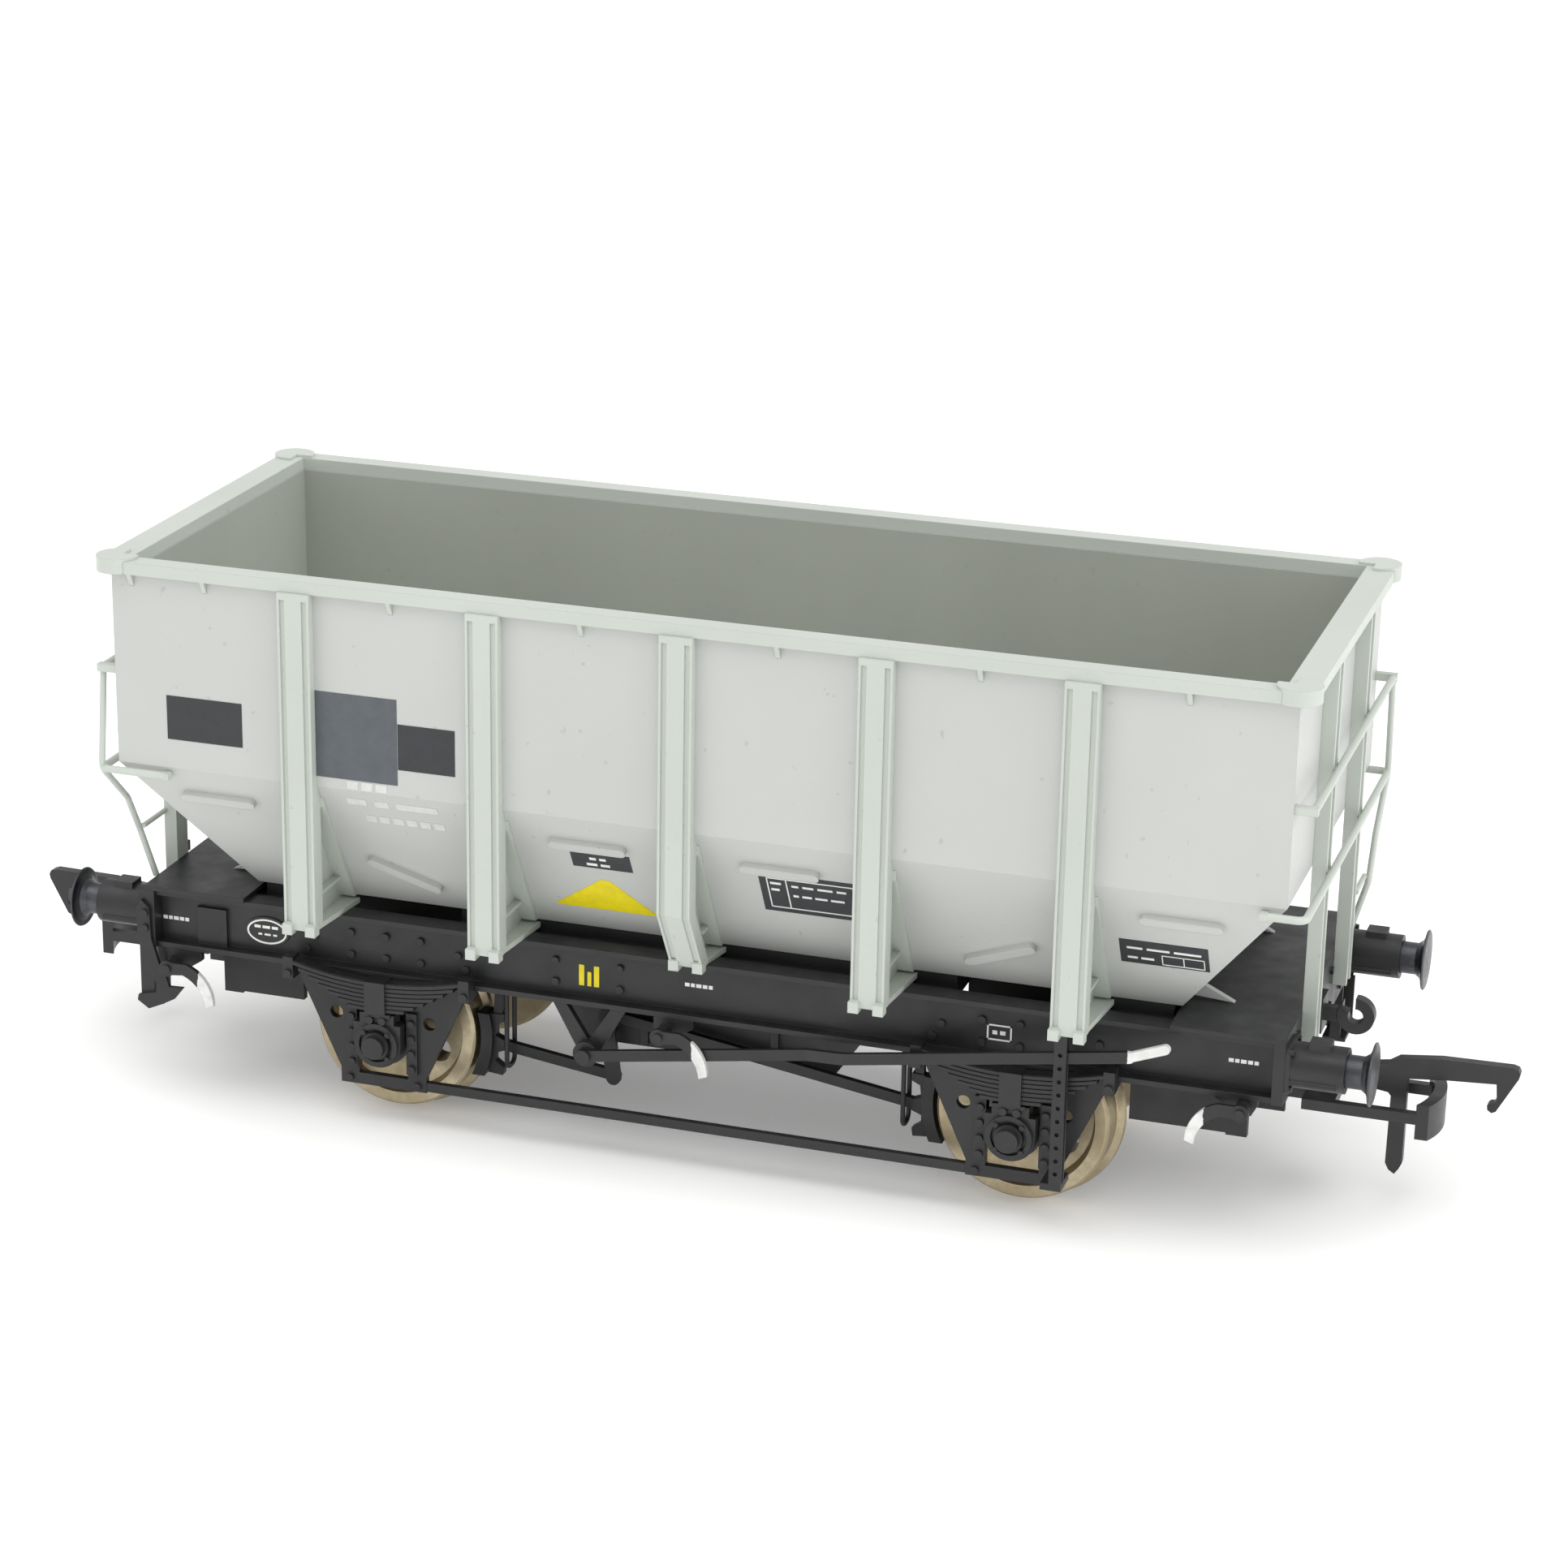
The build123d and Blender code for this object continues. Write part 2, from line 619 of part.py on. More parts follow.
# ---------------------------------------------------------------- W-irons
cup_outer = axle_radius + bearing_clearance + cup_wall
cup_seat = cup_outer + cup_seat_clearance
cup_start = 11.2
cup_end = axle_span / 2 + 0.35
for end_name, axle in (("left", -axle_x), ("right", axle_x)):
    with BuildPart() as w_iron:
        guard_plane = Plane.XZ.offset(guard_back)
        plate(guard_plane, [
            (axle - guard_half_top, solebar_bottom), (axle - guard_half_top, solebar_bottom - 0.9),
            (axle - guard_half_foot, keeper_top + 0.3), (axle - guard_half_foot, guard_foot),
            (axle + guard_half_foot, guard_foot), (axle + guard_half_foot, keeper_top + 0.3),
            (axle + guard_half_top, solebar_bottom - 0.9), (axle + guard_half_top, solebar_bottom),
        ], guard_thickness)
        block((axle - guard_half_slot, axle + guard_half_slot), (-guard_face - 0.1, -guard_back + 0.1),
              (keeper_top, 9.3), mode=Mode.SUBTRACT)
        for edge in (-1, 1):
            disc(guard_plane, (axle + edge * 3.7, 8.65), 0.5, guard_thickness, mode=Mode.SUBTRACT)
            # Bolted horn guides beside the slot.
            block((axle + edge * guard_half_slot, axle + edge * (guard_half_slot + horn_width)),
                  (-guard_face - horn_thickness, -guard_face), (keeper_top + 0.5, 9.4))
            rivets(Plane.XZ.offset(guard_face + horn_thickness),
                   [(axle + edge * (guard_half_slot + horn_width / 2), z) for z in (5.0, 6.2, 7.4, 8.6)])
            rivets(Plane.XZ.offset(guard_face), [(axle + edge * 2.7, 3.55)])
        disc(Plane.XZ.offset(cup_start), (axle, axle_height), guard_half_slot + 0.1, guard_face - cup_start)
        disc(Plane.XZ.offset(cup_start - 0.1), (axle, axle_height), cup_seat, 2.0, mode=Mode.SUBTRACT)
    keep_sides(w_iron.part, f"w_iron_{end_name}")

    # ------------------------------------------------------------ leaf spring
    with BuildPart() as leaf_spring:
        back = Plane.XZ.offset(spring_back)
        top_leaf = 11.75
        for n in range(leaf_count):
            radius = spring_camber_radius + n * leaf_pitch
            half_length = spring_half_length - n * leaf_step
            for inset, thick in ((0.12, leaf_pitch), (0.0, leaf_thickness)):
                with BuildSketch(back.offset(inset)) as leaf:
                    with Locations((axle, top_leaf + spring_camber_radius)):
                        Circle(radius + thick / 2)
                        Circle(radius - thick / 2, mode=Mode.SUBTRACT)
                    with Locations((axle, top_leaf)):
                        Rectangle(2 * half_length, 6, mode=Mode.INTERSECT)
                extrude(leaf.sketch, spring_width - 2 * inset)
        # Buckle at the middle, hangers at the ends.
        block((axle - 0.8, axle + 0.8), (-spring_face - 0.2, -spring_back), (buckle_bottom, 12.0))
        for edge in (-1, 1):
            block((axle + edge * 6.55, axle + edge * 7.35), (-spring_face, -spring_back),
                  (11.3, 13.0))
            block((axle + edge * 6.6, axle + edge * 7.3), (-spring_back, -guard_back), (11.3, solebar_bottom))
            disc(Plane.XZ.offset(spring_face), (axle + edge * 6.95, 11.75), 0.32, 0.2)
    keep_sides(leaf_spring.part, f"leaf_spring_{end_name}")

    # ------------------------------------------------------------ axlebox
    with BuildPart() as axlebox:
        box_half = 1.85
        with BuildSketch(Plane.XZ.offset(guard_face)) as box_face:
            with Locations((axle, axle_height)):
                Circle(box_half)
            with Locations((axle, axle_height + 0.8)):
                Rectangle(2 * box_half, 1.6)
            with Locations((axle, axle_height + 1.9)):
                Rectangle(2 * box_half - 1.0, 1.0)
        extrude(box_face.sketch, axlebox_face - guard_face - 0.3)
        with BuildSketch(Plane.XZ.offset(axlebox_face - 0.3)) as shoe_ring:
            with Locations((axle, axle_height)):
                Circle(box_half - 0.15)
                Circle(box_half - 0.55, mode=Mode.SUBTRACT)
        extrude(shoe_ring.sketch, 0.3)
        disc(Plane.XZ.offset(axlebox_face - 0.3), (axle, axle_height), 1.05, 0.45)
        disc(Plane.XZ.offset(axlebox_face), (axle, axle_height), axlebox_cap_radius,
             axlebox_nose - axlebox_face)
        for edge in (-1, 1):
            disc(Plane.XZ.offset(axlebox_face - 0.3), (axle + edge * 0.5, axle_height + 1.95), 0.3, 0.3)
            for low in (-1, 1):
                disc(Plane.XZ.offset(axlebox_face - 0.3),
                     (axle + edge * 0.95, axle_height + low * 0.95), 0.2, 0.45)
        # Spring seat under the buckle, and a blind hole for the bearing cup.
        block((axle - 1.1, axle + 1.1), (-spring_face, -guard_face), (axle_height + 2.2, buckle_bottom))
        disc(Plane.XZ.offset(guard_face), (axle, axle_height), cup_seat, cup_end - guard_face,
             mode=Mode.SUBTRACT)
    keep_sides(axlebox.part, f"axlebox_{end_name}")

# ---------------------------------------------------------------- bearing cups
cups = []
for axle in (-axle_x, axle_x):
    with BuildPart() as cup:
        cone_start = axle_span / 2 - cone_length
        cone_depth = axle_span / 2 + bearing_clearance
        with BuildSketch(Plane.YZ.offset(axle)) as cup_section:
            with BuildLine():
                Polyline(
                    (-cup_start, axle_height + axle_radius + bearing_clearance),
                    (-cone_start, axle_height + axle_radius + bearing_clearance),
                    (-cone_depth, axle_height + cone_tip_radius + bearing_clearance),
                    (-cone_depth, axle_height), (-cup_end, axle_height),
                    (-cup_end, axle_height + cup_outer), (-cup_start, axle_height + cup_outer),
                    close=True)
            make_face()
        revolve(cup_section.sketch, axis=Axis((axle, 0, axle_height), (0, 1, 0)))
    cups += [cup.part, turned(cup.part)]
keep_group(cups, "bearing_cups")

# ---------------------------------------------------------------- wheelsets
for end_name, axle in (("left", -axle_x), ("right", axle_x)):
    with BuildPart() as axle_pin:
        with BuildSketch(Plane.YZ.offset(axle)) as axle_section:
            with BuildLine():
                tip, shoulder = axle_span / 2, axle_span / 2 - cone_length
                Polyline(
                    (-tip, axle_height), (-tip, axle_height + cone_tip_radius),
                    (-shoulder, axle_height + axle_radius), (shoulder, axle_height + axle_radius),
                    (tip, axle_height + cone_tip_radius), (tip, axle_height), close=True)
            make_face()
        revolve(axle_section.sketch, axis=Axis((axle, 0, axle_height), (0, 1, 0)))
    keep(axle_pin.part, f"axle_{end_name}")

    with BuildPart() as wheel:
        wheel_axis = Axis((axle, 0, axle_height), (0, 1, 0))
        with BuildSketch(Plane.YZ.offset(axle)) as wheel_section:
            with BuildLine():
                Polyline(
                    (-wheel_inner, axle_height + axle_radius), (-wheel_inner, axle_height + 5.0),
                    (-wheel_inner, axle_height + flange_radius - 0.25),
                    (-wheel_inner - 0.25, axle_height + flange_radius),
                    (-wheel_inner - 0.55, axle_height + flange_radius - 0.1),
                    (-wheel_inner - flange_width, axle_height + tread_radius + 0.12),
                    (-wheel_outer + 0.2, axle_height + tread_radius),
                    (-wheel_outer, axle_height + tread_radius - 0.2),
                    (-wheel_outer, axle_height + 5.3), (-wheel_outer + 0.9, axle_height + 5.0),
                    (-wheel_outer + 0.9, axle_height + 2.0), (-wheel_outer + 0.2, axle_height + 1.8),
                    (-wheel_outer + 0.2, axle_height + axle_radius), close=True)
            make_face()
        revolve(wheel_section.sketch, axis=wheel_axis)
        with BuildSketch(Plane.XZ.offset(wheel_inner)) as wheel_holes:
            with Locations((axle, axle_height)):
                with PolarLocations(3.5, 3, start_angle=90):
                    Circle(0.95)
        extrude(wheel_holes.sketch, wheel_outer - wheel_inner, mode=Mode.SUBTRACT)
    keep(wheel.part, f"wheel_{end_name}_near")
    keep(mirror(wheel.part, about=Plane.XZ), f"wheel_{end_name}_far")

# ---------------------------------------------------------------- tie bars
with BuildPart() as tie_bar:
    reach = axle_x - guard_half_foot
    block((-reach, reach), (-guard_face + 0.05, -guard_back), (guard_foot + 0.1, keeper_top - 0.1))
keep_group([tie_bar.part, turned(tie_bar.part)], "tie_bars")

# ---------------------------------------------------------------- buffers
housing_end = body_half_length + housing_length
bore_radius = shank_radius + shank_clearance
housings = []
for buffer_side in (-buffer_y, buffer_y):
    with BuildPart() as housing:
        end_plane = Plane.YZ.offset(body_half_length)
        with BuildSketch(end_plane) as flange:
            with Locations((buffer_side, buffer_height)):
                RectangleRounded(buffer_flange, buffer_flange, 0.4)
        extrude(flange.sketch, 0.35)
        disc(end_plane, (buffer_side, buffer_height), housing_radius, housing_length)
        for turn in (90, 210, 330):
            rib_y = buffer_side + housing_radius * cos(radians(turn))
            rib_z = buffer_height + housing_radius * sin(radians(turn))
            if turn != 90:
                disc(end_plane, (rib_y, rib_z), 0.24, housing_length - 0.5)
        # Step pad on top.
        block((body_half_length + 1.4, body_half_length + 2.9), (buffer_side - 0.75, buffer_side + 0.75),
              (buffer_height + 1.2, buffer_height + housing_radius + 0.3))
        for bolt_y in (-1.35, 1.35):
            for bolt_z in (-1.35, 1.35):
                disc(end_plane.offset(0.35), (buffer_side + bolt_y, buffer_height + bolt_z), 0.22, 0.2)
        disc(end_plane.offset(0.5), (buffer_side, buffer_height), bore_radius, housing_length,
             mode=Mode.SUBTRACT)
    housings.append(housing.part)
keep_group(housings, "buffer_housings_right")
keep_group([turned(part) for part in housings], "buffer_housings_left")

flare_start = housing_end + buffer_travel + 0.1
for buffer_name, buffer_side in (("near", -buffer_y), ("far", buffer_y)):
    with BuildPart() as buffer_head:
        buffer_axis = Axis((0, buffer_side, buffer_height), (1, 0, 0))
        with BuildSketch(Plane.XY.offset(buffer_height)) as head_section:
            with BuildLine():
                Polyline(
                    (shank_back, buffer_side), (shank_back, buffer_side + shank_radius),
                    (flare_start, buffer_side + shank_radius),
                    (flare_start + 0.35, buffer_side + shank_radius + 0.25),
                    (flare_start + 0.52, buffer_side + shank_radius + 0.6),
                    (buffer_face - 0.3, buffer_side + buffer_head_radius - 0.05),
                    (buffer_face - 0.2, buffer_side + buffer_head_radius),
                    (buffer_face - 0.12, buffer_side + buffer_head_radius - 0.15),
                    (buffer_face, buffer_side + 0.8), (buffer_face, buffer_side), close=True)
            make_face()
        revolve(head_section.sketch, axis=buffer_axis)
    keep(buffer_head.part, f"buffer_head_right_{buffer_name}")
    other = "far" if buffer_name == "near" else "near"
    keep(turned(buffer_head.part), f"buffer_head_left_{other}")

coil_start = body_half_length + 0.5
coil_length = shank_back - coil_start - 2 * spring_wire_radius
coils = []
for buffer_side in (-buffer_y, buffer_y):
    with BuildPart() as coil:
        with BuildLine() as coil_path:
            Helix(coil_length / 3, coil_length, spring_coil_radius,
                  center=(coil_start + spring_wire_radius, buffer_side, buffer_height),
                  direction=(1, 0, 0))
        with BuildSketch(Plane(origin=coil_path.line @ 0, z_dir=coil_path.line % 0)) as coil_wire:
            Circle(spring_wire_radius)
        sweep(coil_wire.sketch, path=coil_path.line, is_frenet=True)
    coils.append(coil.part)
keep_group(coils + [turned(part) for part in coils], "buffer_springs")

# ---------------------------------------------------------------- couplings
socket_span = (pivot_x + socket_start, pivot_x + socket_end)
socket_half_width = tongue_half_width + tongue_fit + socket_wall
with BuildPart() as coupling_pocket:
    disc(Plane.XY.offset(tongue_bottom), (pivot_x, 0), 2.0, tongue_top - tongue_bottom)
    block((pivot_x, socket_span[0]), (-tongue_half_width, tongue_half_width),
          (tongue_bottom, tongue_top))
    block((socket_span[0] - 0.4, socket_span[1]), (-socket_half_width, socket_half_width),
          (tongue_bottom - tongue_fit - socket_wall, tongue_top + tongue_fit + socket_wall))
    disc(Plane.XY.offset(tongue_bottom - 1), (pivot_x, 0), pivot_radius, 4.0, mode=Mode.SUBTRACT)
    block(socket_span, (-tongue_half_width - tongue_fit, tongue_half_width + tongue_fit),
          (tongue_bottom - tongue_fit, tongue_top + tongue_fit), mode=Mode.SUBTRACT)
keep_ends(coupling_pocket.part, "coupling_pocket")

# A flat tongue widens into a loop, and the bowed bumper bar closes the loop's end.
bar_end_x = bar_x - bar_bow
loop_start = mouth_end + 0.9
window_start = hook_pin_x - 0.4
near_face = hook_thickness / 2 + hook_clearance
with BuildPart() as coupling_bar:
    block((socket_span[0] + 0.1, loop_start + 0.2), (-tongue_half_width, tongue_half_width),
          (tongue_bottom, tongue_top))
    block((loop_start, bar_end_x - 0.2), (-bar_half_width, bar_half_width), (tongue_bottom, tongue_top))
    block((window_start, bar_end_x), (-bar_half_width + loop_arm_width, bar_half_width - loop_arm_width),
          (tongue_bottom - 0.1, tongue_top + 0.1), mode=Mode.SUBTRACT)
    with BuildSketch(Plane.XY.offset(bar_bottom)) as bumper:
        with BuildLine():
            ThreePointArc((bar_end_x, -bar_half_width), (bar_x, 0), (bar_end_x, bar_half_width))
            Line((bar_end_x, bar_half_width), (bar_end_x - bar_thickness, bar_half_width))
            ThreePointArc((bar_end_x - bar_thickness, bar_half_width), (bar_x - bar_thickness, 0),
                          (bar_end_x - bar_thickness, -bar_half_width))
            Line((bar_end_x - bar_thickness, -bar_half_width), (bar_end_x, -bar_half_width))
        make_face()
    extrude(bumper.sketch, bar_top - bar_bottom)
    # Two ears on the tongue carry the hook's pin.
    for edge in (-1, 1):
        plate(Plane.XZ.offset(-edge * near_face), [
            (hook_pin_x - 1.9, tongue_top - 0.1), (window_start, tongue_top - 0.1),
            (hook_pin_x + 0.7, hook_pin_height), (hook_pin_x, hook_pin_height + 0.7),
            (hook_pin_x - 0.7, hook_pin_height + 0.4),
        ], -edge * 0.55)
    disc(Plane.XZ.offset(-near_face - 0.5), (hook_pin_x, hook_pin_height), hook_pin_radius,
         2 * near_face + 1.0)
keep_ends(coupling_bar.part, "coupling_bar")

# The hook's outline, from its pin: over the top to the nose, back under, and down the drop pin.
hook_outline = [
    (-0.6, -0.5), (-0.6, 0.35), (-0.3, 0.75), (2.1, 1.15), (2.9, 1.28), (3.6, 1.75), (6.6, 2.1),
    (11.6, 2.18), (12.0, 2.05), (12.15, 1.75), (12.08, 1.4), (10.65, -1.3), (10.35, -1.45),
    (10.05, -1.25), (10.0, -0.95), (10.15, -0.75), (10.45, -0.7), (10.65, -0.4), (10.55, 0.78),
    (7.1, 0.57), (4.4, 0.3), (4.32, -0.1), (4.35, -6.3), (4.15, -6.75), (3.85, -7.2), (3.4, -6.9),
    (3.15, -6.4), (3.2, -1.2), (3.0, -0.95), (2.7, -0.9),
]
with BuildPart() as coupling_hook:
    with BuildSketch(Plane.XZ) as hook_face:
        with BuildLine():
            Polyline(*[(hook_pin_x + x, hook_pin_height + z) for x, z in hook_outline], close=True)
        make_face()
        with Locations((hook_pin_x, hook_pin_height)):
            Circle(hook_pin_radius + 0.06, mode=Mode.SUBTRACT)
    extrude(hook_face.sketch, hook_thickness / 2, both=True)
keep_ends(coupling_hook.part, "coupling_hook")

# Cast drawhook: a bolted plate, a neck and a curl that is open at the top.
curl_x = body_half_length + 2.7
with BuildPart() as drawhook:
    block((body_half_length, body_half_length + 0.45), (-1.1, 1.1), (12.7, 15.3))
    block((body_half_length + 0.45, curl_x - 0.8), (-0.4, 0.4), (13.5, 14.5))
    with BuildSketch(Plane.XZ) as curl:
        with Locations((curl_x, 14.1)):
            Circle(1.35)
            Circle(0.55, mode=Mode.SUBTRACT)
        with Locations((curl_x - 0.5, 15.0)):
            Rectangle(0.9, 1.2, mode=Mode.SUBTRACT)
    extrude(curl.sketch, 0.45, both=True)
keep_group([drawhook.part, turned(drawhook.part)], "drawhooks")

# ---------------------------------------------------------------- brake gear
pivot_point = (brake_pivot_x, brake_pivot_height)
with BuildPart() as v_hanger:
    hanger_plane = Plane.XZ.offset(guard_back)
    for side, top_inner, top_outer in ((-1, 1.75, 2.75), (1, 1.7, 2.85)):
        plate(hanger_plane, [
            (brake_pivot_x + side * top_outer, solebar_bottom),
            (brake_pivot_x + side * top_inner, solebar_bottom),
            (brake_pivot_x - side * 0.45, brake_pivot_height + 0.1),
            (brake_pivot_x + side * 0.7, brake_pivot_height - 0.25),
        ], guard_thickness)
    disc(hanger_plane, pivot_point, 0.95, 1.3)
keep_group([v_hanger.part, turned(v_hanger.part)], "v_hangers")

# Seen from the side the lever runs straight to a knee, then turns up into a handle.
lever_knee = (axle_x + lever_knee_reach, lever_knee_height)
lever_end = (axle_x + lever_end_reach, lever_end_height)
with BuildPart() as lever_side:
    bar(Plane.XZ.offset(12), pivot_point, lever_knee, lever_half_depth, 4)
    bar(Plane.XZ.offset(12), lever_knee, lever_end, handle_half_depth, 4)
with BuildPart() as brake_lever:
    with BuildSketch(Plane.XY) as plan:
        with BuildLine():
            Polyline(
                (brake_pivot_x - 2, -lever_root), (9, -lever_root), (12, -lever_back),
                (lever_end[0] + 2, -lever_back), (lever_end[0] + 2, -lever_back - lever_thickness),
                (11.9, -lever_back - lever_thickness), (8.9, -lever_root - lever_thickness),
                (brake_pivot_x - 2, -lever_root - lever_thickness), close=True)
        make_face()
    extrude(plan.sketch, 20)
    add(lever_side.part, mode=Mode.INTERSECT)
    disc(Plane.XZ.offset(lever_root - 0.05), pivot_point, 0.55, 0.65)
keep_group([brake_lever.part, turned(brake_lever.part)], "brake_levers")

with BuildPart() as lever_guide:
    half = lever_guide_width / 2
    inner_strip = (-lever_back + 0.27, -lever_back + 0.05)
    outer_strip = (-lever_back - lever_thickness - 0.05 - guide_strip, -lever_back - lever_thickness - 0.05)
    guide_span = (lever_guide_x - half, lever_guide_x + half)
    for strip in (inner_strip, outer_strip):
        block(guide_span, strip, (3.9, 16.2))
    block(guide_span, (outer_strip[0], -solebar_edge), (15.75, 16.2))
    block((axle_x + guard_half_foot - 0.8, guide_span[1]), (outer_strip[0], -guard_face), (3.9, 4.4))
    for n in range(10):
        disc(Plane.XZ.offset(-outer_strip[1] - 0.1), (lever_guide_x, 5.2 + n), 0.16, 0.5,
             mode=Mode.SUBTRACT)
keep_group([lever_guide.part, turned(lever_guide.part)], "lever_guides")


def brake_shoe(wheel_x, facing):
    """Add a shoe with its hanger, facing one way, to the open part."""
    radius = tread_radius + shoe_gap
    with BuildSketch(Plane.XZ.offset(shoe_inner)) as shoe:
        with Locations((wheel_x, axle_height)):
            Circle(radius + shoe_thickness)
            Circle(radius, mode=Mode.SUBTRACT)
        with Locations((wheel_x + facing * (radius + 0.35), axle_height - 0.6)):
            Rectangle(3.0, 5.0, mode=Mode.INTERSECT)
    extrude(shoe.sketch, shoe_outer - shoe_inner)
    edge = wheel_x + facing * (radius + 0.6)
    plate(Plane.XZ.offset(8.6), [
        (edge - facing * 0.15, 4.1), (edge + facing * 0.95, 4.0), (edge + facing * 1.05, 4.6),
        (edge + facing * 0.35, 5.1), (edge + facing * 0.35, 5.7), (edge + facing * 1.1, 6.0),
        (edge + facing * 1.1, 6.8), (edge + facing * 0.4, 7.1), (edge + facing * 0.5, 8.0),
        (edge + facing * 1.1, 8.3), (edge + facing * 1.1, 8.9), (edge - facing * 0.2, 8.8),
    ], 0.7)
    plate(Plane.XZ.offset(8.7), [
        (edge + facing * 0.2, 8.4), (edge + facing * 0.9, 8.4),
        (edge + facing * 1.3, frame_floor_bottom), (edge + facing * 0.6, frame_floor_bottom),
    ], 0.5)


with BuildPart() as rigging:
    brake_shoe(-axle_x, 1)
    brake_shoe(axle_x, -1)
    rod_plane = Plane.XZ.offset(8.7)
    low_pin = (brake_pivot_x + 0.85, brake_pivot_height - 3.2)
    high_pin = (brake_pivot_x + 0.25, brake_pivot_height + 1.6)
    bar(rod_plane, (-axle_x + 7.6, 6.45), low_pin, 0.4, 0.5)
    bar(rod_plane, high_pin, (axle_x - 7.8, 6.4), 0.4, 0.5)
    bar(rod_plane.offset(0.5), low_pin, high_pin, 0.55, 0.4)
    disc(Plane.XZ.offset(8.15), pivot_point, 0.45, guard_back - 8.15)
loops = []
for loop_x in (-axle_x + 8.8, axle_x - 8.8):
    with BuildPart() as loop:
        wire([
            (loop_x, -9.9, frame_floor_bottom), (loop_x, -9.9, 4.9),
            (loop_x, -8.35, 4.9), (loop_x, -8.35, frame_floor_bottom),
        ], 0.6, loop_wire_radius)
    loops.append(loop.part)
near_gear = [rigging.part] + loops
keep_group(near_gear + [turned(part) for part in near_gear], "brake_rigging")

# ---------------------------------------------------------------- door gear
door_pivots = ((-body_half_length + 2.2, 10.8, 1), (-2.0, 10.9, 1), (body_half_length - 2.7, 11.4, -1))
plates, levers = [], []
for lever_x, lever_z, facing in door_pivots:
    with BuildPart() as bearing_plate:
        plate(Plane.XZ.offset(guard_back), [
            (lever_x - facing * 0.9, solebar_bottom), (lever_x + facing * 2.1, solebar_bottom),
            (lever_x + facing * 2.1, lever_z + 0.3), (lever_x + facing * 0.5, lever_z - 0.75),
            (lever_x - facing * 0.5, lever_z - 0.75), (lever_x - facing * 0.9, lever_z),
        ], 0.5)
        disc(Plane.XZ.offset(guard_back + 0.5), (lever_x, lever_z), 0.5, 1.3)
    plates.append(bearing_plate.part)
    with BuildPart() as door_lever:
        with BuildSketch(Plane.XZ.offset(guard_back + 1.8)) as lever_face:
            with Locations((lever_x, lever_z)):
                Circle(0.62)
            with BuildLine():
                Line((lever_x, lever_z + 0.5), (lever_x + facing * 1.6, lever_z + 0.5))
                ThreePointArc(
                    (lever_x + facing * 1.6, lever_z + 0.5), (lever_x + facing * 3.05, lever_z - 0.5),
                    (lever_x + facing * 3.75, lever_z - 2.5))
                Line((lever_x + facing * 3.75, lever_z - 2.5), (lever_x + facing * 3.1, lever_z - 2.75))
                ThreePointArc(
                    (lever_x + facing * 3.1, lever_z - 2.75), (lever_x + facing * 2.4, lever_z - 1.1),
                    (lever_x + facing * 1.3, lever_z - 0.35))
                Line((lever_x + facing * 1.3, lever_z - 0.35), (lever_x, lever_z - 0.5))
                Line((lever_x, lever_z - 0.5), (lever_x, lever_z + 0.5))
            make_face()
        extrude(lever_face.sketch, 0.35)
        disc(Plane.XZ.offset(guard_back + 2.15), (lever_x, lever_z), 0.35, 0.2)
    levers.append(door_lever.part)
keep_group(plates + [turned(part) for part in plates], "door_lever_plates")
keep_group(levers + [turned(part) for part in levers], "door_levers")

# ---------------------------------------------------------------- headstock steps
step_end = -body_half_length
with BuildPart() as step:
    # A strap down the headstock's end curves in and widens into the tread.
    strap_outline = [
        (-0.14, 15.7), (0.5, 15.1), (0.58, 12.7), (1.24, 10.5), (1.7, 9.75), (1.93, 9.0), (3.1, 9.05),
        (2.32, 8.05), (1.3, 7.5), (0.2, 7.0), (-0.7, 7.6), (-0.62, 8.05), (0.8, 8.4), (0.95, 9.0),
        (0.7, 9.5), (0.15, 10.4), (-0.52, 12.55), (-0.55, 15.0),
    ]
    plate(Plane.XZ.offset(headstock_half_width), [(step_end + x, z) for x, z in strap_outline], 0.3)
    rivets(Plane.XZ.offset(headstock_half_width + 0.3), [(step_end + 0.15, z) for z in (13.5, 14.7)])
    # A straight strap behind it, and the tread between this and one further in.
    block((step_end - 0.5, step_end + 0.6), (-headstock_half_width, -headstock_half_width + 0.3),
          (7.4, solebar_bottom))
    block((step_end - 0.4, step_end + 1.3), (-headstock_half_width, -headstock_half_width + 2.3), (7.4, 7.7))
    block((step_end, step_end + headstock_thickness),
          (-headstock_half_width + 2.0, -headstock_half_width + 2.3), (7.4, solebar_bottom))
keep_group([step.part, turned(step.part)], "headstock_steps")
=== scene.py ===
import bpy
import bmesh
from math import cos, pi, radians, sin
from mathutils import Matrix, Vector


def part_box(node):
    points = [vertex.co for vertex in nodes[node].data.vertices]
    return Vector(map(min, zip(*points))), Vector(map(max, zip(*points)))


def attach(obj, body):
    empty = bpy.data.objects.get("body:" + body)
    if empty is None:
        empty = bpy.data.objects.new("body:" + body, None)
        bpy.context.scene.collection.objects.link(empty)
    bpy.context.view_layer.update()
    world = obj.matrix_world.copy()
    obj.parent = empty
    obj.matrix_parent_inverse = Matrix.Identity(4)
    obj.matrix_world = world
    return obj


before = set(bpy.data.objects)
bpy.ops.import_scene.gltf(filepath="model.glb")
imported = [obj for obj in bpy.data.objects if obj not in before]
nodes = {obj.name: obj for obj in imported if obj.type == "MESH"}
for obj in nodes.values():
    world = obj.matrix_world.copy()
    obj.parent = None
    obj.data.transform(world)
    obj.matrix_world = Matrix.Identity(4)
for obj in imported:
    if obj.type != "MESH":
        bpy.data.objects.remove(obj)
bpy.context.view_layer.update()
MM = 0.001

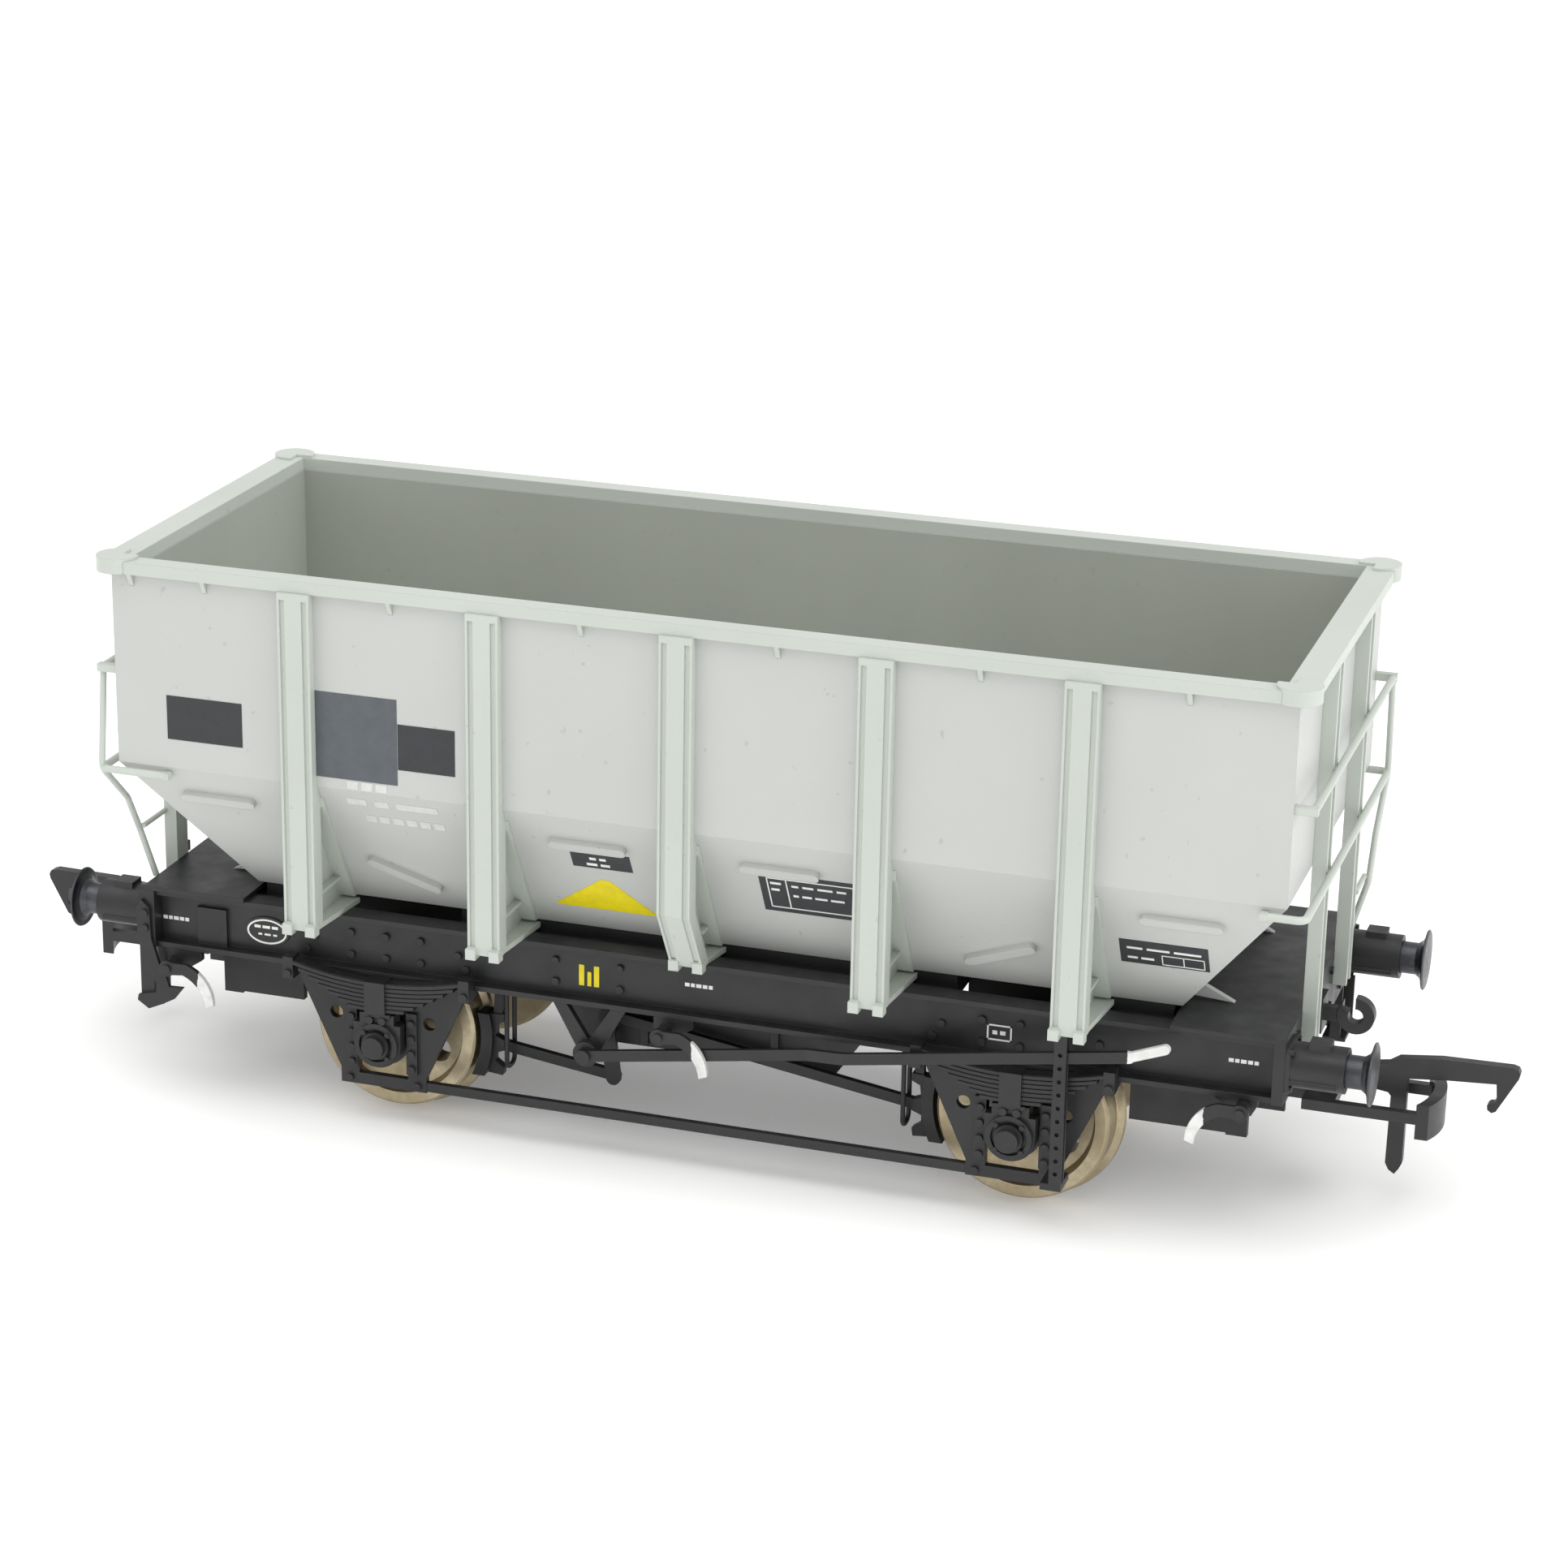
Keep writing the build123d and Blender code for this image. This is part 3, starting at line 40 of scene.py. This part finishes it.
# ------------------------------------------------------------------ places read from the frame
body_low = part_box("hopper_body")[0]
SIDE = -body_low.y                      # outside of the upright sides
END = -body_low.x                       # outside of the upright ends
FOLD = 27.5 * MM                        # height where the sides start to slope in
FOOT = 17.0 * MM                        # height of the bottom of the slopes
FOOT_SIDE = 9.7 * MM                    # half width there
FOOT_END = 35.0 * MM                    # half length there
WALL = 1.2 * MM                         # thickness of the hopper's walls
WEB = 11.6 * MM                         # outside of the solebar's web
INK = 0.03 * MM                         # thickness of a printed film


# ------------------------------------------------------------------ node helpers
class Graph:
    """A material's node tree, with one short call for each kind of node used here."""

    def __init__(self, name):
        self.mat = bpy.data.materials.new(name)
        self.mat.use_nodes = True
        self.tree = self.mat.node_tree
        self.shader = self.tree.nodes["Principled BSDF"]
        self.coords = self.tree.nodes.new("ShaderNodeTexCoord").outputs["Object"]

    def node(self, kind, inputs, **settings):
        made = self.tree.nodes.new(kind)
        for key, value in settings.items():
            setattr(made, key, value)
        for key, value in inputs.items():
            if isinstance(value, bpy.types.NodeSocket):
                self.tree.links.new(value, made.inputs[key])
            else:
                made.inputs[key].default_value = value
        return made

    def calc(self, operation, a, b=0.0):
        return self.node("ShaderNodeMath", {0: a, 1: b}, operation=operation).outputs[0]

    def both(self, *masks):
        out = masks[0]
        for mask in masks[1:]:
            out = self.calc("MULTIPLY", out, mask)
        return out

    def noise(self, scale, detail=3.0, rough=0.55, stretch=(1, 1, 1)):
        place = self.node("ShaderNodeMapping", {"Vector": self.coords, "Scale": stretch}).outputs[0]
        inputs = {"Vector": place, "Scale": scale, "Detail": detail, "Roughness": rough}
        return self.node("ShaderNodeTexNoise", inputs).outputs["Fac"]

    def spread(self, value, low, high, to_low=0.0, to_high=1.0):
        inputs = {"Value": value, "From Min": low, "From Max": high, "To Min": to_low, "To Max": to_high}
        return self.node("ShaderNodeMapRange", inputs).outputs[0]

    def mix(self, factor, a, b):
        made = self.tree.nodes.new("ShaderNodeMix")
        made.data_type = "RGBA"
        for socket, value in ((made.inputs[0], factor), (made.inputs[6], a), (made.inputs[7], b)):
            if isinstance(value, bpy.types.NodeSocket):
                self.tree.links.new(value, socket)
            else:
                socket.default_value = value
        return made.outputs[2]

    def axes(self):
        return self.node("ShaderNodeSeparateXYZ", {"Vector": self.coords}).outputs

    def edges(self, radius):
        """1 along sharp edges, 0 on open faces."""
        normal = self.tree.nodes.new("ShaderNodeNewGeometry").outputs["Normal"]
        round_normal = self.node("ShaderNodeBevel", {"Radius": radius}, samples=4).outputs[0]
        match = self.node("ShaderNodeVectorMath", {0: normal, 1: round_normal}, operation="DOT_PRODUCT")
        return self.spread(match.outputs["Value"], 0.995, 0.85)

    def bump(self, height, strength, distance, radius):
        rounded = self.node("ShaderNodeBevel", {"Radius": radius}, samples=4).outputs[0]
        inputs = {"Height": height, "Strength": strength, "Distance": distance, "Normal": rounded}
        return self.node("ShaderNodeBump", inputs).outputs[0]

    def output(self, **sockets):
        for key, value in sockets.items():
            socket = self.shader.inputs[key.replace("_", " ")]
            if isinstance(value, bpy.types.NodeSocket):
                self.tree.links.new(value, socket)
            else:
                socket.default_value = value
        return self.mat


def srgb(r, g, b):
    """A colour from 0-255 display values."""
    steps = [c / 255 for c in (r, g, b)]
    return [c / 12.92 if c <= 0.04045 else ((c + 0.055) / 1.055) ** 2.4 for c in steps] + [1.0]


def shade(colour, factor):
    return [min(1.0, c * factor) for c in colour[:3]] + [1.0]


def painted(name, colour, rough, interior=None):
    """Sprayed satin paint: faint cloudiness, dust in it, lighter edges and soft orange peel."""
    g = Graph(name)
    cloud = g.spread(g.noise(45, 4), 0.35, 0.65)
    tone = g.mix(cloud, shade(colour, 0.965), shade(colour, 1.02))
    if interior:
        x, y, z = g.axes()
        share = g.spread(z, FOOT, FOLD)
        y_mid = g.spread(share, 0, 1, FOOT_SIDE - WALL / 3, SIDE - WALL / 2)
        x_mid = g.spread(share, 0, 1, FOOT_END - WALL / 3, END - WALL / 2)
        inside = g.both(
            g.calc("LESS_THAN", g.calc("ABSOLUTE", y), y_mid),
            g.calc("LESS_THAN", g.calc("ABSOLUTE", x), x_mid),
            g.calc("GREATER_THAN", z, FOOT + 0.45 * MM),
        )
        streaks = g.spread(g.noise(90, 5, 0.6, (1, 1, 0.25)), 0.3, 0.7)
        inner_tone = g.mix(streaks, shade(interior, 0.95), shade(interior, 1.03))
        tone = g.mix(inside, tone, inner_tone)
    dust_and_sheen = g.spread(g.noise(1400, 2, 0.4), 0.73, 0.78, 0.0, 0.35)
    tone = g.mix(dust_and_sheen, tone, shade(colour, 0.55))
    tone = g.mix(g.calc("MULTIPLY", g.edges(0.12 * MM), 0.35), tone, shade(colour, 1.18))
    peel = g.noise(2600, 2)
    roughness = g.spread(g.noise(240, 3), 0.3, 0.7, rough - 0.05, rough + 0.06)
    return g.output(Base_Color=tone, Roughness=roughness,
                    Normal=g.bump(peel, 0.12, 0.02 * MM, 0.08 * MM))


def moulded(name, colour, rough, worn=1.9, grain=2200):
    """Satin moulded plastic: fine pebble grain, rubbed edges, dust and a painted sheen on the upward faces.
    """
    g = Graph(name)
    cloud = g.spread(g.noise(70, 4), 0.3, 0.7)
    tone = g.mix(cloud, shade(colour, 0.8), shade(colour, 1.25))
    up = g.node("ShaderNodeSeparateXYZ", {
        "Vector": g.tree.nodes.new("ShaderNodeNewGeometry").outputs["Normal"]}).outputs[2]
    # Upward faces are lightened in patches: partly dust, partly a painted sheen standing in for light off
    # the top faces.
    dust_and_sheen = g.both(g.spread(up, 0.3, 1.0, 0.0, 0.5), g.spread(g.noise(320, 5, 0.7), 0.42, 0.75))
    tone = g.mix(dust_and_sheen, tone, shade(colour, 3.4))
    tone = g.mix(g.calc("MULTIPLY", g.edges(0.1 * MM), 0.5), tone, shade(colour, worn))
    roughness = g.spread(g.noise(500, 3), 0.3, 0.7, rough - 0.07, rough + 0.08)
    return g.output(Base_Color=tone, Roughness=roughness,
                    Normal=g.bump(g.noise(grain, 3), 0.2, 0.02 * MM, 0.07 * MM))


def turned_metal(name, colour, rough, tarnish):
    """Lathe-turned metal: fine rings about the axle, patchy tarnish, brighter edges."""
    g = Graph(name)
    patches = g.spread(g.noise(160, 5, 0.6), 0.38, 0.68)
    tone = g.mix(patches, colour, tarnish)
    rings = g.noise(1500, 4, 0.6, (1, 3, 1))
    tone = g.mix(g.spread(rings, 0.3, 0.75, 0.0, 0.45), tone, shade(colour, 0.6))
    tone = g.mix(g.calc("MULTIPLY", g.edges(0.15 * MM), 0.6), tone, shade(colour, 1.45))
    roughness = g.spread(rings, 0.3, 0.7, rough - 0.08, rough + 0.12)
    return g.output(Base_Color=tone, Metallic=1.0, Roughness=roughness,
                    Normal=g.bump(rings, 0.15, 0.015 * MM, 0.08 * MM))


def with_white_ends(name, colour, rough, spans):
    """Moulded black plastic with brush-painted white ends, over spans of length along the near side."""
    g = Graph(name)
    x, y = g.axes()[:2]
    ragged = g.spread(g.noise(900, 3), 0.3, 0.7, -0.1 * MM, 0.1 * MM)
    turned_x = g.calc("MULTIPLY", x, g.calc("MULTIPLY", g.calc("SIGN", y), -1.0))
    along = g.calc("ADD", turned_x, ragged)
    white = 0.0
    for start, end in spans:
        off_middle = g.calc("ABSOLUTE", g.calc("SUBTRACT", along, (start + end) / 2 * MM))
        white = g.calc("MAXIMUM", white, g.calc("LESS_THAN", off_middle, (end - start) / 2 * MM))
    cloud = g.spread(g.noise(70, 4), 0.3, 0.7)
    black = g.mix(cloud, shade(colour, 0.8), shade(colour, 1.3))
    brush = g.mix(g.spread(g.noise(700, 4, 0.7), 0.3, 0.75), srgb(238, 238, 235), srgb(196, 198, 196))
    tone = g.mix(white, black, brush)
    tone = g.mix(g.calc("MULTIPLY", g.edges(0.1 * MM), 0.3), tone, shade(colour, 3.0))
    roughness = g.spread(g.noise(500, 3), 0.3, 0.7, rough - 0.05, rough + 0.08)
    return g.output(Base_Color=tone, Roughness=roughness,
                    Normal=g.bump(g.noise(2200, 3), 0.2, 0.02 * MM, 0.07 * MM))


def printed(name, colour, rough=0.45):
    """Tampo-printed ink: a thin even film with slightly uneven cover."""
    g = Graph(name)
    cover = g.spread(g.noise(1100, 4, 0.65), 0.3, 0.72)
    tone = g.mix(cover, shade(colour, 0.9), shade(colour, 1.08))
    roughness = g.spread(g.noise(900, 3), 0.3, 0.7, rough - 0.05, rough + 0.08)
    return g.output(Base_Color=tone, Roughness=roughness,
                    Normal=g.bump(g.noise(3000, 2), 0.1, 0.01 * MM, 0.02 * MM))


# ------------------------------------------------------------------ materials
GREY = srgb(192, 194, 191)
TRIM = srgb(193, 199, 191)
INSIDE = srgb(169, 173, 164)
BLACK = srgb(32, 32, 34)
body_paint = painted("body_paint", GREY, 0.42, interior=INSIDE)
trim_paint = painted("trim_paint", TRIM, 0.4)
black_plastic = moulded("black_plastic", BLACK, 0.42)
soft_black = moulded("soft_black_plastic", srgb(27, 27, 29), 0.5, grain=1500)
coupling_black = moulded("coupling_plastic", srgb(36, 36, 38), 0.38, grain=3000)
wheel_metal = turned_metal("wheel_metal", srgb(194, 181, 153), 0.42, srgb(160, 146, 118))
axle_metal = turned_metal("axle_metal", srgb(176, 172, 164), 0.25, srgb(140, 134, 124))
buffer_metal = turned_metal("buffer_metal", srgb(92, 93, 97), 0.36, srgb(70, 70, 74))
brass_metal = turned_metal("brass_metal", srgb(206, 172, 98), 0.28, srgb(150, 118, 62))
weight_metal = turned_metal("weight_metal", srgb(120, 120, 122), 0.45, srgb(88, 80, 74))
lever_paint = with_white_ends("door_lever_paint", BLACK, 0.42, ((-38.2, -36), (0.5, 3), (35, 37.7)))
handle_paint = with_white_ends("brake_lever_paint", BLACK, 0.42, ((32.3, 36.3),))
ink_black = printed("ink_black", srgb(44, 46, 50))
ink_slate = printed("ink_slate", srgb(84, 89, 95))
ink_white = printed("ink_white", srgb(236, 237, 234))
ink_pale = printed("ink_pale", srgb(209, 212, 208))
ink_yellow = printed("ink_yellow", srgb(232, 214, 8))

looks = {
    "hopper_body": body_paint, "top_rim": trim_paint, "rim_corner_caps": trim_paint,
    "door_levers": lever_paint, "brake_levers": handle_paint, "bearing_cups": brass_metal,
    "ballast_weight": weight_metal, "buffer_springs": axle_metal, "coupling_screws": axle_metal,
    "brake_rigging": soft_black, "centre_frame": soft_black, "discharge_chute": soft_black,
    "discharge_doors": soft_black,
}
by_start = (
    ("side_stanchions", trim_paint), ("end_stanchions", trim_paint), ("end_handrail", trim_paint),
    ("wheel_", wheel_metal), ("axle_", axle_metal), ("buffer_head", buffer_metal),
    ("coupling_", coupling_black),
)
for name, node in nodes.items():
    look = looks.get(name)
    if look is None:
        look = next((m for start, m in by_start if name.startswith(start)), black_plastic)
    node.data.materials.clear()
    node.data.materials.append(look)


# ------------------------------------------------------------------ printed panels and marks
def twice(obj):
    """The same piece on the far side, half a turn about Z."""
    copy = obj.copy()
    copy.data = obj.data.copy()
    copy.name = obj.name.replace("near", "far")
    copy.data.transform(Matrix.Rotation(pi, 4, "Z"))
    bpy.context.scene.collection.objects.link(copy)
    return copy


def film(name, material, outlines, place):
    """A thin raised film of ink: flat outlines (x, up) in millimetres, put on a surface by place().

    The same film goes on the far side, half a turn about Z.
    """
    mesh = bpy.data.meshes.new(name)
    bm = bmesh.new()
    for outline in outlines:
        lower = [bm.verts.new(place(x * MM, up * MM, 0.0)) for x, up in outline]
        upper = [bm.verts.new(place(x * MM, up * MM, INK)) for x, up in outline]
        count = len(outline)
        bm.faces.new(upper)
        bm.faces.new(list(reversed(lower)))
        for n in range(count):
            bm.faces.new((lower[n], lower[(n + 1) % count], upper[(n + 1) % count], upper[n]))
    bmesh.ops.recalc_face_normals(bm, faces=bm.faces)
    bm.to_mesh(mesh)
    bm.free()
    mesh.materials.append(material)
    obj = bpy.data.objects.new(name, mesh)
    bpy.context.scene.collection.objects.link(obj)
    for piece in (obj, twice(obj)):
        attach(piece, "wagon")


def on_side(x, up, out):
    return Vector((x, -SIDE - out, up))


def on_web(x, up, out):
    return Vector((x, -WEB - out, up))


slope = Vector((0, -SIDE, FOLD)) - Vector((0, -FOOT_SIDE, FOOT))
slope_out = Vector((0, -(FOLD - FOOT), -(SIDE - FOOT_SIDE))).normalized()


def on_slope(x, up, out):
    """A point on the sloping side at height up."""
    base = Vector((x, -FOOT_SIDE, FOOT)) + slope * ((up - FOOT) / (FOLD - FOOT))
    return base + slope_out * out


def rect(x0, z0, x1, z1):
    return [(x0, z0), (x1, z0), (x1, z1), (x0, z1)]


def dashes(x, z, widths, height, gap):
    """A row of short plain strokes."""
    row, at = [], x
    for width in widths:
        row.append(rect(at, z, at + width, z + height))
        at += width + gap
    return row


def frame_lines(x0, z0, x1, z1, line):
    """The four sides of a thin outline."""
    return [rect(x0, z0, x1, z0 + line), rect(x0, z1 - line, x1, z1),
            rect(x0, z0, x0 + line, z1), rect(x1 - line, z0, x1, z1)]


film("side_panel_left_near", ink_black, [rect(-38.9, 29.7, -33.0, 33.0)], on_side)
film("side_panel_middle_near", ink_slate, [rect(-27.26, 28.3, -21.0, 34.7)], on_side)
film("side_panel_right_near", ink_black, [rect(-20.95, 29.5, -16.6, 32.9)], on_side)
film("slope_panel_pool_near", ink_black, [rect(-8.7, 22.95, -4.2, 24.45)], on_slope)
film("slope_panel_card_near", ink_black, [rect(5.35, 21.1, 12.6, 24.65)], on_slope)
film("slope_panel_service_near", ink_black, [rect(31.0, 20.65, 37.2, 22.8)], on_slope)
film("slope_triangle_near", ink_yellow,
     [[(-11.0, 18.9), (-3.1, 18.9), (-6.2, 21.8), (-6.9, 21.85)]], on_slope)


def raised(place, by=INK):
    """The same surface, one ink film further out."""
    return lambda x, up, out: place(x, up, out + by)


film("pool_strokes_near", ink_white,
     dashes(-7.3, 23.75, (0.5, 0.5), 0.22, 0.25) + dashes(-7.6, 23.2, (0.8, 0.7), 0.22, 0.25),
     raised(on_slope))
film("card_lines_near", ink_white,
     frame_lines(5.9, 21.5, 12.3, 24.3, 0.09) + [rect(7.3, 21.5, 7.39, 24.3)]
     + dashes(6.15, 23.7, (0.8,), 0.2, 0.2) + dashes(6.15, 23.1, (0.6,), 0.2, 0.2)
     + dashes(7.7, 23.6, (0.5, 0.8, 1.1, 0.7), 0.18, 0.3)
     + dashes(7.7, 22.7, (0.4, 0.7, 0.9, 1.0), 0.18, 0.25),
     raised(on_slope))
film("service_lines_near", ink_white,
     frame_lines(33.9, 20.8, 36.9, 21.7, 0.07) + [rect(35.4, 20.8, 35.47, 21.7)]
     + dashes(31.5, 22.0, (1.1, 1.6, 1.9), 0.18, 0.3) + dashes(31.5, 21.1, (0.7, 0.9), 0.18, 0.25),
     raised(on_slope))
film("class_strokes_near", ink_pale, dashes(-24.9, 27.6, (0.85, 0.85, 0.85), 0.6, 0.25), on_side)
film("weight_strokes_near", ink_pale,
     dashes(-25.2, 26.2, (1.5, 1.1, 3.2), 0.55, 0.6) + dashes(-24.1, 24.7, (0.8,) * 6, 0.6, 0.25), on_slope)

film("solebar_mark_yellow_near", ink_yellow,
     [rect(-8.9, 13.1, -8.5, 14.7), rect(-8.25, 13.1, -7.95, 14.2), rect(-7.75, 13.1, -7.35, 14.7)],
     on_web)
for label, x, z in (("left", -42.0, 13.8), ("middle", -0.8, 14.15), ("right", 38.8, 14.15)):
    film(f"solebar_strokes_{label}_near", ink_white, dashes(x, z, (0.35, 0.3, 0.4, 0.35, 0.3), 0.28, 0.1),
         on_web)
film("solebar_tag_outline_near", ink_white,
     frame_lines(21.6, 13.3, 23.4, 14.5, 0.12) + dashes(22.0, 13.75, (0.35, 0.4), 0.3, 0.2), on_web)

RING_STEPS = 32


def plate_oval(half_length, half_height):
    """Points round an oval about the middle of the oval plate."""
    turns = [2 * pi * n / RING_STEPS for n in range(RING_STEPS)]
    return [(-33.5 + half_length * cos(turn), 13.9 + half_height * sin(turn)) for turn in turns]


oval, inner = plate_oval(1.6, 0.98), plate_oval(1.46, 0.84)
ring = [[oval[n - 1], oval[n], inner[n], inner[n - 1]] for n in range(RING_STEPS)]
film("solebar_plate_lines_near", ink_white,
     ring + dashes(-34.5, 14.15, (0.5, 0.6, 0.5), 0.22, 0.15)
     + dashes(-34.2, 13.6, (0.3, 0.5, 0.3), 0.15, 0.2),
     raised(on_web, 0.12 * MM))

# ------------------------------------------------------------------ floor, light and camera
g = Graph("floor_paper")
tone = g.mix(g.spread(g.noise(6, 4), 0.3, 0.7), srgb(247, 247, 246), srgb(252, 252, 251))
floor_look = g.output(Base_Color=tone, Roughness=0.9, Normal=g.bump(g.noise(900, 3), 0.05, 0.05 * MM, 0.0),
                      Emission_Color=(1, 1, 1, 1), Emission_Strength=0.16)
bpy.ops.mesh.primitive_grid_add(x_subdivisions=8, y_subdivisions=8, size=6.0, location=(0, 0, 0))
floor = bpy.context.object
floor.name = "floor"
floor.data.materials.append(floor_look)

world = bpy.data.worlds.new("soft_studio")
bpy.context.scene.world = world
world.use_nodes = True
world.node_tree.nodes["Background"].inputs["Color"].default_value = (1.0, 1.0, 1.0, 1.0)
world.node_tree.nodes["Background"].inputs["Strength"].default_value = 0.72


def soft_light(name, place, size, power):
    data = bpy.data.lights.new(name, "AREA")
    data.shape = "RECTANGLE"
    data.size, data.size_y = size
    data.energy = power
    light = bpy.data.objects.new(name, data)
    light.location = place
    aim = Vector((0, 0, 0.02)) - Vector(place)
    light.rotation_euler = aim.to_track_quat("-Z", "Y").to_euler()
    bpy.context.scene.collection.objects.link(light)


soft_light("key_overhead", (-0.05, -0.2, 0.8), (0.9, 0.7), 3.35)
soft_light("fill_left", (-0.7, -0.5, 0.35), (0.5, 0.5), 1.0)
soft_light("fill_right", (0.85, -0.1, 0.4), (0.5, 0.5), 3.0)

AZIMUTH, ELEVATION, ROLL = radians(17.88), radians(19.98), radians(0.92)
DISTANCE = 293.9 * MM
target = Vector((0, 0, 22 * MM))
back = Vector((sin(AZIMUTH) * cos(ELEVATION), -cos(AZIMUTH) * cos(ELEVATION), sin(ELEVATION)))
level = Vector((cos(AZIMUTH), sin(AZIMUTH), 0))
upward = back.cross(level)
right = level * cos(ROLL) + upward * sin(ROLL)
top = upward * cos(ROLL) - level * sin(ROLL)
camera_data = bpy.data.cameras.new("camera")
camera_data.lens = 91.7
camera_data.sensor_width = 36.0
camera_data.shift_x = 0.0231
camera_data.shift_y = 0.0310
camera_data.clip_start = 0.01
camera = bpy.data.objects.new("camera", camera_data)
facing = Matrix((right, top, back)).transposed().to_4x4()
camera.matrix_world = Matrix.Translation(target + back * DISTANCE) @ facing
bpy.context.scene.collection.objects.link(camera)
bpy.context.scene.camera = camera
bpy.context.scene.view_settings.view_transform = "Standard"
